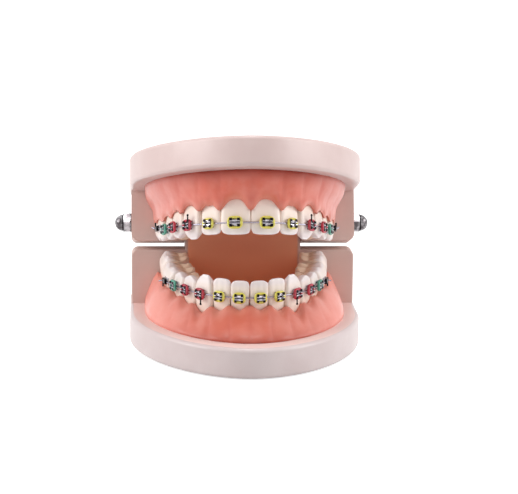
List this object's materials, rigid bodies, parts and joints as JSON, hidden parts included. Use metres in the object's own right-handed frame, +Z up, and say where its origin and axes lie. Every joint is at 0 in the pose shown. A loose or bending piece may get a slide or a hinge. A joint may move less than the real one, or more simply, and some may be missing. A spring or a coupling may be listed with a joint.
{
  "type": "typodont model",
  "caption": "Hinged pair of dental model jaws with gums, separate teeth and fixed braces with elastic ties, standing open on its lower base.",
  "frame": {"origin": "point on the bottom face of the lower base, on the mid-plane, at the plate's widest line", "axes": "+Z up from the resting face; -Y towards the front teeth; +X to the right seen from the front"},
  "size_m": [0.0888, 0.09, 0.077],
  "materials": {
    "base": "glossy cast plastic, pinkish",
    "gum": "glossy coral pink",
    "tooth": "glossy ivory white",
    "bracket": "satin steel",
    "wire": "drawn steel",
    "nut": "bright plated",
    "yellow": "yellow elastic",
    "red": "crimson elastic",
    "green": "teal green elastic"
  },
  "bodies": {
    "lower": {"lower_base": "base", "lower_gum": "gum", "lower_left_central": "tooth", "lower_left_lateral": "tooth", "lower_left_canine": "tooth", "lower_left_premolar_1": "tooth", "lower_left_premolar_2": "tooth", "lower_left_molar_1": "tooth", "lower_left_molar_2": "tooth", "lower_right_central": "tooth", "lower_right_lateral": "tooth", "lower_right_canine": "tooth", "lower_right_premolar_1": "tooth", "lower_right_premolar_2": "tooth", "lower_right_molar_1": "tooth", "lower_right_molar_2": "tooth", "lower_archwire": "wire", "lower_incisor_brackets": "bracket", "lower_canine_brackets": "bracket", "lower_premolar_brackets": "bracket", "lower_molar_tubes": "bracket", "lower_yellow_ties": "yellow", "lower_red_ties": "red", "lower_green_ties": "green"},
    "upper": {"upper_base": "base", "upper_gum": "gum", "upper_left_central": "tooth", "upper_left_lateral": "tooth", "upper_left_canine": "tooth", "upper_left_premolar_1": "tooth", "upper_left_premolar_2": "tooth", "upper_left_molar_1": "tooth", "upper_left_molar_2": "tooth", "upper_right_central": "tooth", "upper_right_lateral": "tooth", "upper_right_canine": "tooth", "upper_right_premolar_1": "tooth", "upper_right_premolar_2": "tooth", "upper_right_molar_1": "tooth", "upper_right_molar_2": "tooth", "upper_archwire": "wire", "upper_incisor_brackets": "bracket", "upper_canine_brackets": "bracket", "upper_premolar_brackets": "bracket", "upper_molar_tubes": "bracket", "upper_yellow_ties": "yellow", "upper_red_ties": "red", "upper_green_ties": "green", "hinge_pin": "nut", "hinge_nuts": "nut"}
  },
  "joints": [
    {"name": "jaw_hinge", "type": "hinge", "parent": "lower", "child": "upper", "pos_m": [0, 0.0243, 0.0365], "axis": [-1, 0, 0], "range_deg": [-15.8, 84]}
  ]
}
